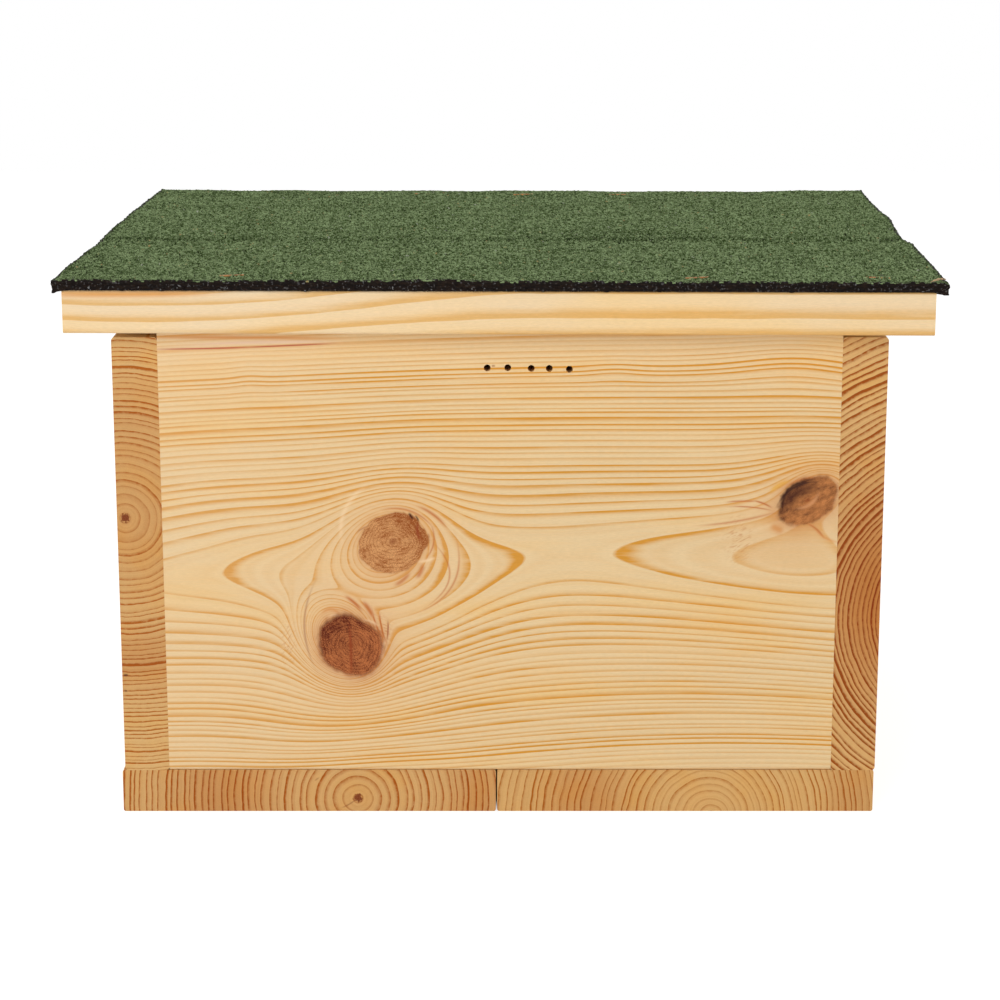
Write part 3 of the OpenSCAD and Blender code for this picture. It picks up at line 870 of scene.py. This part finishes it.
def roof_material():
    """Pale pine with broad soft bands, each hard along its lower side."""
    material, tree, shader = start_material("roof_vent_pine")
    place = object_place(tree, turn=(0.0, 0.0, -1.0))
    normal = face_normal(tree)
    x, y, z = parts_of(place)
    ring = roof_rings(x, y, z) + noise(place, (0.03, 0.03, 0.08), 2.0, 0.5, 63.0) * 0.16 + 19.95
    end = normal[0].math("ABSOLUTE").rise(0.5, 0.8)
    wood = use_effect(
        tree, planed_pine, Ring=ring, Place=place, End=end,
        Slant=slant_of(normal[1], normal[2], y - roof_pith["y"], z - roof_pith["z"]),
        Start=0.38, Strength=0.85, Face=(236, 210, 171), FaceLine=(222, 178, 115),
        EndFace=end_face, EndLine=end_line, Seed=64.0,
    )
    finish_wood(tree, shader, add_marks(tree, wood["Colour"], x, z, roof_marks), wood)
    return material


dress("roof_board_vent_side", roof_material())
dress("roof_board_entrance_side", pine_board(
    "roof_entrance_pine", (2.0, 70.0, 190.0), (0.0, -1.2, 1.0), rings=(4.5, 2.8, 40.0), bend=12.0,
    start=0.5, strength=0.8, seed=67.0, face=(238, 208, 160), face_line=(214, 156, 88),
))

# Battens
# Two battens are screwed across the roof boards from below. They hold the boards together and
# keep the loose lid from sliding off the walls.
dress("batten_left", pine_board(
    "batten_left_pine", (-120.0, 0.0, 230.0), (0.0, 0.0, 89.0), seed=71.0, strength=0.8,
))
dress("batten_right", pine_board(
    "batten_right_pine", (140.0, 0.0, 190.0), (0.0, 0.0, 89.0), seed=74.0, strength=0.8,
))

# Screws
# Countersunk wood screws with a bright zinc coat hold the walls, the partition and the battens.
# The coat is grey with a faint yellow cast, patchy and finely scratched.


def metal(name, colour, dull, roughness, seed):
    """Plated metal: two tones in patches, with fine scratches in its roughness and bump."""
    material, tree, shader = start_material(name)
    place = object_place(tree)
    patch = noise(place, (0.5, 0.5, 0.5), 3.0, 0.6, seed)
    scratch = noise(place, (6.0, 1.5, 1.5), 2.0, 0.6, seed + 1.0)
    plug(tree, tint(patch.rise(-0.2, 0.3), colour, dull), shader.inputs["Base Color"])
    plug(tree, roughness + patch * 0.2 + scratch * 0.15, shader.inputs["Roughness"])
    shader.inputs["Metallic"].default_value = 1.0
    add_bump(tree, shader, scratch, 0.3, 0.00005)
    return material


zinc = metal("zinc_plate", (184, 182, 172), (136, 133, 121), 0.3, 81.0)
for screw_node in ("side_screws", "floor_screws", "partition_screws", "batten_screws"):
    dress(screw_node, zinc)

# Roofing felt
# One sheet of bitumen felt, 4 mm thick, is laid on the lid and cut with a knife. Crushed green
# stone is rolled into its face; the black bitumen shows on the cut edges and between the grains.
# The lid lies a little askew, by this turn and this shift to the right
lid_turn = math.radians(1.0)
lid_shift = 0.002
board_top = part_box("roof_board_vent_side")[1].z
felt_half = 0.1932
felt_front = -0.1705
felt_back = 0.1675
felt_thick = 0.0041
# The side cuts, from front to back: a share of the depth, and millimetres outside the straight line
felt_cut_right = [
    (0.0, -0.6), (0.1, -1.0), (0.2, -0.6), (0.355, -0.5), (0.38, -2.4), (0.47, -2.4), (0.62, 0.5),
    (0.75, -0.3), (0.87, -0.8), (1.0, -0.5),
]
felt_cut_left = [
    (0.0, -1.9), (0.006, -1.4), (0.1, -1.2), (0.2, -2.1), (0.37, -2.5), (0.45, -1.4), (0.62, -1.1),
    (0.72, -1.0), (0.87, -1.8), (1.0, -2.7),
]
# The sheet is worked out in strips, on a grid of this step
felt_strips = 7
felt_step = 0.0005
# The square that the stone's cells fill, and one cell and the height of its stone
sheet_span = 0.42
grain_size = 0.0013
grain_rise = 0.0009
# How many of the flakes are tan or nearly white, as a share of them all
tan_flakes = 0.007
pale_flakes = 0.004
# The face: how deep the stone's foot lies, slow waves, a crease across it, and lifted rear corners
stone_foot = 0.00065
sheet_wave = 0.00025
crease_y = -0.0335
crease_sway = 0.003
crease_half = 0.006
crease_deep = 0.0005
corner_lift = 0.0009
# The cut: how far its line strays, how wide it is bare of stone, and the lip that the knife raised
rag_size = 0.0002
bare_wide = 0.0013
lip_rise = 0.0010
lip_wide = 0.0015
# The sheet lies on the boards with a hair's gap, and its front corners hang past the boards' ends
board_gap = 0.00002
board_end = 0.1875
hang_run = 0.004
hang_drop = 0.0005
hang_foot = 0.0013
# Down the cut, a share of the way and millimetres out: a lumpy glossy lip, a hollow, a thin lower lip
cut_profile = [
    (0.04, 0.20), (0.12, 0.44), (0.24, 0.56), (0.36, 0.50), (0.48, 0.26),
    (0.60, 0.08), (0.74, 0.06), (0.85, 0.22), (0.94, 0.36), (1.0, 0.26),
]
# Where the staples lie under the stone: x, y and the turn of the crown
felt_staples = [
    (-0.116, -0.1535, 15.0), (-0.010, -0.1525, -58.0), (0.086, -0.1565, 20.0), (0.164, -0.1555, -12.0),
    (-0.164, 0.1545, 8.0), (-0.134, 0.1535, 35.0), (-0.048, 0.1485, -18.0), (0.008, 0.1475, 10.0),
    (0.060, 0.1475, 4.0), (0.158, 0.1535, -8.0),
]


def edge_at(share, cut):
    """How far a cut edge lies outside the straight line, in metres, at a share of the depth."""
    shares, offsets = zip(*cut)
    return np.interp(share, shares, offsets) / 1000.0


def slow_waves(x, y, length, seed, count=7):
    """A sum of sine waves of about one length in random directions, from about -1 to 1."""
    random = np.random.default_rng(seed)
    total = np.zeros_like(x)
    for angle, phase, scale in random.uniform(0.0, 1.0, (count, 3)):
        turn = angle * 2.0 * math.pi
        run = (x * math.cos(turn) + y * math.sin(turn)) * 2.0 * math.pi / (length * (0.7 + 0.6 * scale))
        total += np.sin(run + phase * 2.0 * math.pi)
    return total / math.sqrt(count)


def stone_grains(x, y):
    """Height from 0 to 1, tone from 0 to 1 and gap from 0 to 1 of the crushed stone at x and y.

    The sheet is divided in cells with one flake each, off its cell's middle and longer one way. The
    nearest flake owns a point. Its top is a tilted plane, and the gap is 1 where two flakes meet."""
    random = np.random.default_rng(20)
    across = int(sheet_span / grain_size)
    off = random.uniform(0.05, 0.95, (across, across, 2))
    lie = random.uniform(0.0, math.pi, (across, across))
    longer = random.uniform(1.0, 1.5, (across, across))
    size = random.normal(0.0, 0.13, (across, across))
    tilt = random.normal(0.0, 0.42, (across, across, 2))
    level = random.uniform(0.3, 1.0, (across, across))
    tone = random.uniform(0.0, 1.0, (across, across))
    cell_x = (x + sheet_span / 2.0) / grain_size
    cell_y = (y + sheet_span / 2.0) / grain_size
    first = np.full(x.shape, 9.0)
    second = np.full(x.shape, 9.0)
    top = np.zeros(x.shape)
    colour = np.zeros(x.shape)
    for step_x in (-1, 0, 1):
        for step_y in (-1, 0, 1):
            i = np.clip(np.floor(cell_x).astype(int) + step_x, 0, across - 1)
            j = np.clip(np.floor(cell_y).astype(int) + step_y, 0, across - 1)
            from_x = cell_x - i - off[i, j, 0]
            from_y = cell_y - j - off[i, j, 1]
            along = from_x * np.cos(lie[i, j]) + from_y * np.sin(lie[i, j])
            side = from_y * np.cos(lie[i, j]) - from_x * np.sin(lie[i, j])
            away = np.hypot(along / longer[i, j], side) - size[i, j]
            nearer = away < first
            second = np.where(nearer, first, np.minimum(second, away))
            plane = level[i, j] + tilt[i, j, 0] * from_x + tilt[i, j, 1] * from_y
            top = np.where(nearer, plane, top)
            colour = np.where(nearer, tone[i, j], colour)
            first = np.where(nearer, away, first)
    border = np.clip((second - first) / 0.32, 0.0, 1.0)
    return np.clip(top, 0.0, 1.4) * border, colour, 1.0 - border


mound_rise = 0.0006
crown_half = 0.0068
crown_wide = 0.0016


def staple_mounds(x, y):
    """1 where a staple's crown is buried, falling away round it, and less over the part that shows."""
    total = np.zeros_like(x)
    for number, (centre_x, centre_y, turn) in enumerate(felt_staples):
        along, side = turned(x, y, centre_x, centre_y, math.radians(turn))
        shown = np.exp(-(((along - 0.0018 * (number % 3 - 1)) / crown_wide) ** 2))
        total += np.exp(-((along / crown_half) ** 4) - (side / crown_wide) ** 2) * (1.0 - 0.75 * shown)
    return total


def edge_hang(x, depth):
    """How far the sheet bends down past the boards' ends, from 0 to 1 at the front corners."""
    past = np.clip((np.abs(x) - board_end + 0.001) / hang_run, 0.0, 1.0) ** 2
    return past * np.clip(1.15 - depth * 8.0, 0.0, 1.0)


def sheet_top(x, y, depth, rim, height, bare):
    """The level of the stone face.

    It is the sheet's slow waves, less the crease and the hang, with the rear corners lifted, and then
    the stone, the mounds over the staples, and a lip of lip_rise * exp(-(rim / lip_wide)^2) at the cut."""
    crease = np.exp(-(((y - crease_y + crease_sway * np.sin(x * 23.0)) / crease_half) ** 2))
    base = board_top + felt_thick - stone_foot + sheet_wave * slow_waves(x, y, 0.05, 9)
    base -= crease_deep * crease
    base += corner_lift * (np.abs(x) / felt_half) ** 6 * np.clip((depth - 0.8) / 0.2, 0.0, 1.0) ** 2
    base -= hang_drop * edge_hang(x, depth)
    rear = np.clip((depth - 0.975) / 0.025, 0.0, 1.0)
    z = base + grain_rise * height * (1.0 + 0.6 * crease) * (1.0 - 0.7 * bare) * (1.0 - 0.6 * rear)
    z += mound_rise * staple_mounds(x, y)
    return z + lip_rise * np.exp(-((rim / lip_wide) ** 2)) * (1.0 - rear)


def cut_rings(rim, out_x, out_y, tone, hang):
    """Rings of points down the cut, from the face to the board, each with its stone values.

    A ring lies at rim + (foot - rim) * down, pushed out by the profile, small lumps and a few drips."""
    x, y, z = rim
    foot = board_top + board_gap - hang_foot * hang
    foot = np.where(np.abs(x) < board_end, np.maximum(foot, board_top + board_gap), foot)
    drips = np.clip(slow_waves(x, y, 0.007, 77) - 1.1, 0.0, 0.6) * 0.0006
    for down, out in cut_profile:
        fine = slow_waves(x, y, 0.0022, int(down * 100)) * 0.00012
        lump = fine + slow_waves(x, y, 0.006, int(down * 50)) * 0.00006
        drip = drips * (down > 0.8)
        points = np.stack([
            x + out_x * (out / 1000.0 + lump),
            y + out_y * (out / 1000.0 + lump + drip * 0.4),
            z + (foot - z) * down + lump * (down < 0.5) - drip * (np.abs(out_y) > 0.5),
        ], 1)
        cover = np.clip((down - 0.22 * (tone - 0.45)) / 0.06, 0.0, 1.0)
        yield points, np.stack([tone, 0.4 + 0.6 * cover, cover], 1)


def felt_strip(number):
    """One strip of the sheet, from front to back: its stone face, its cut edges and its flat back."""
    rows = int((felt_back - felt_front) / felt_step)
    columns = int(2.0 * felt_half / felt_strips / felt_step)
    depth, share = np.meshgrid(
        np.linspace(0.0, 1.0, rows + 1),
        np.linspace(number / felt_strips, (number + 1) / felt_strips, columns + 1), indexing="ij",
    )
    left = -felt_half - edge_at(depth, felt_cut_left)
    right = felt_half + edge_at(depth, felt_cut_right)
    y = felt_front + (felt_back - felt_front) * depth
    rag = slow_waves(y, y * 0.0, 0.006, 3) * rag_size
    x = (left - rag) * (1.0 - share) + (right + rag) * share
    y = y + slow_waves(x, x * 0.0, 0.005, 5) * rag_size * (2.0 * depth - 1.0)
    height, tone, gap = stone_grains(x, y)
    rim = np.minimum(np.minimum(x - left, right - x), np.minimum(y - felt_front, felt_back - y))
    bare = np.clip(1.0 - rim / bare_wide + 0.9 * (tone - 0.5), 0.0, 1.0)
    z = sheet_top(x, y, depth, rim, height, bare)
    grid = np.arange(z.size).reshape(z.shape)
    points = [np.stack([x, y, z], -1).reshape(-1, 3)]
    faces = [np.stack([grid[:-1, :-1], grid[:-1, 1:], grid[1:, 1:], grid[1:, :-1]], -1).reshape(-1, 4)]
    stone = [np.stack([tone, np.maximum(gap, bare), bare], -1).reshape(-1, 3)]
    last = np.concatenate([grid[0, :-1], grid[:-1, -1], grid[-1, :0:-1], grid[:0:-1, 0]])
    row, column = np.divmod(last, columns + 1)
    out_x = np.where((column == columns) & (number == felt_strips - 1), 1.0, 0.0)
    out_x = np.where((column == 0) & (number == 0), -1.0, out_x)
    out_y = np.where(row == rows, 1.0, 0.0) - np.where(row == 0, 1.0, 0.0)
    hang = edge_hang(x, depth).ravel()[last]
    for ring, ring_stone in cut_rings(points[0][last].T, out_x, out_y, tone.ravel()[last], hang):
        fresh = np.arange(len(last)) + sum(len(part) for part in points)
        points.append(ring)
        stone.append(ring_stone)
        faces.append(np.stack([last, fresh, np.roll(fresh, -1), np.roll(last, -1)], 1))
        last = fresh
    co = np.concatenate(points)
    lid_x, lid_y = turned(co[:, 0], co[:, 1], 0.0, 0.0, lid_turn)
    place = np.stack([lid_x + lid_shift, lid_y, co[:, 2]], 1)
    mesh = bpy.data.meshes.new(f"felt_strip_{number + 1}")
    mesh.from_pydata(place.tolist(), [], np.concatenate(faces).tolist() + [last[::-1].tolist()])
    grains = mesh.attributes.new("stone", "FLOAT_VECTOR", "POINT")
    grains.data.foreach_set("vector", np.concatenate(stone).astype(np.float32).ravel())
    uv = mesh.uv_layers.new(name="OFBake")
    corners = np.empty(len(mesh.loops), np.int32)
    mesh.loops.foreach_get("vertex_index", corners)
    flat = (co[:, :2] + sheet_span / 2.0) / sheet_span
    uv.data.foreach_set("uv", flat[corners].astype(np.float32).ravel())
    mesh.update()
    return put(f"felt_strip_{number + 1}", mesh)


def felt_material():
    """Green stone of many tones in clumps, painted shade down between the flakes and along a crease, over
    glossy black bitumen.
    """
    material, tree, shader = start_material("green_stone_felt")
    attribute = tree.nodes.new("ShaderNodeAttribute")
    attribute.attribute_name = "stone"
    tone, gap, bare = parts_of(Formula(tree, attribute.outputs["Vector"]))
    place = object_place(tree)
    across, back, up = parts_of(place)
    patch = noise(place, (0.03, 0.05, 0.05), 3.0, 0.5, 91.0)
    clump = noise(place, (1.4, 0.62, 0.6), 2.0, 0.75, 93.0)
    hollow_shade = noise(place, (1.1, 0.5, 0.5), 1.0, 0.6, 97.0)
    grit = noise(place, (1.8, 1.8, 1.8), 2.0, 0.6, 92.0)
    # Painted shade along the crease at y -33 mm, where the sheet sags, and a darker patch right of the
    # middle towards the front
    crease_shade_and_patch = back.bell(-33.0, 7.0) * 0.4 + across.bell(66.0, 34.0) * back.bell(-22.0, 26.0) * 0.4
    share = tone * 0.9 + clump * 2.6 + patch * 0.4 + grit * 1.9 - crease_shade_and_patch * 0.3
    green = tint(share.clipped(), (54, 70, 34), (148, 168, 120))
    tan = (tone + (tan_flakes - 1.0)).rise(0.0, 0.002) * 0.8
    green = tint(tan, green, (170, 140, 92))
    pale = (pale_flakes - tone).rise(0.0, 0.002) * 0.7
    green = tint(pale, green, (188, 192, 170))
    # Painted shade: dark down between the flakes and in small hollows, where the bitumen also shows
    dark = (gap + (tone - 0.5) * 0.3).rise(0.4, 0.95)
    dark = dark.math("MAXIMUM", (hollow_shade + crease_shade_and_patch * 0.1).rise(0.09, 0.18)) * 0.9
    colour = tint(dark, green, (25, 29, 14))
    tar = bare.rise(0.4, 0.6)
    lip = noise(place, (0.35, 0.35, 1.2), 2.0, 0.6, 94.0)
    colour = tint(tar, colour, tint(lip.rise(-0.1, 0.2), (14, 8, 6), (34, 24, 17)))
    plug(tree, colour, shader.inputs["Base Color"])
    plug(tree, 0.88 - tar * 0.30 + grit * 0.3 + lip * tar * 0.5, shader.inputs["Roughness"])
    shader.inputs["Specular IOR Level"].default_value = 0.07
    glint = noise(place, (0.9, 0.9, 0.9), 1.0, 0.6, 96.0)
    plug(tree, glint.rise(0.10, 0.20) * tar, shader.inputs["Coat Weight"])
    shader.inputs["Coat Roughness"].default_value = 0.14
    add_bump(tree, shader, grit + glint * tar * 0.6, 0.8, 0.0003)
    return material


felt_finish = felt_material()
for felt_number in range(felt_strips):
    felt_piece = felt_strip(felt_number)
    felt_piece.data.materials.append(felt_finish)
    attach(felt_piece, "lid")
    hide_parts("roof_felt")

# Torn fibre
# At the front right corner the knife left a curl of the felt's fleece standing out of the bitumen.
fibre_line = [
    (0.1836, -0.1712, 0.2452), (0.1850, -0.1716, 0.2462), (0.1868, -0.1716, 0.2468),
    (0.1886, -0.1712, 0.2471), (0.1902, -0.1704, 0.2470), (0.1912, -0.1694, 0.2464),
]
fibre_half = 0.00045
fibre_sides = 8


def fibre_curl():
    """A tapered strand swept along the smoothed line: an oval, 0.9 mm wide in the middle and flatter."""
    line = np.array(fibre_line)
    steps = np.linspace(0.0, 1.0, 25)
    shares = np.linspace(0.0, 1.0, len(line))
    path = np.stack([np.interp(steps, shares, line[:, axis]) for axis in range(3)], 1)
    for _ in range(3):
        path[1:-1] = (path[:-2] + path[1:-1] * 2.0 + path[2:]) / 4.0
    points = []
    for step, place in zip(steps, path):
        wide = fibre_half * math.sin(math.pi * (0.12 + 0.8 * step)) * (1.0 + 0.3 * math.sin(step * 31.0))
        turn = np.linspace(0.0, 2.0 * math.pi, fibre_sides, endpoint=False)
        ring = np.stack([turn * 0.0, np.cos(turn) * wide * 0.4, np.sin(turn) * wide], 1)
        points.append(place + ring)
    co = np.concatenate(points)
    grid = np.arange(len(co)).reshape(len(steps), fibre_sides)
    after = np.roll(grid, -1, axis=1)
    quads = np.stack([grid[:-1], grid[1:], after[1:], after[:-1]], -1).reshape(-1, 4)
    mesh = bpy.data.meshes.new("felt_fibre")
    mesh.from_pydata(co.tolist(), [], quads.tolist() + [grid[0].tolist(), grid[-1][::-1].tolist()])
    mesh.update()
    return put("felt_fibre", mesh)


def fleece_material():
    """Dull tan fleece with dark flecks of bitumen along it."""
    material, tree, shader = start_material("torn_fleece")
    place = object_place(tree)
    fleck = noise(place, (0.8, 2.0, 2.0), 2.0, 0.6, 99.0)
    plug(tree, tint(fleck.rise(-0.05, 0.2), (190, 160, 122), (84, 66, 50)), shader.inputs["Base Color"])
    plug(tree, 0.8 + fleck * 0.3, shader.inputs["Roughness"])
    return material


felt_fibre = fibre_curl()
felt_fibre.data.materials.append(fleece_material())
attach(felt_fibre, "lid")

# Staples
# Copper-washed staples are shot through the felt along its front and rear edges. Only their
# crowns show, half sunk among the grains.
dress("felt_staples", metal("copper_wash", (208, 142, 82), (140, 96, 58), 0.45, 95.0))
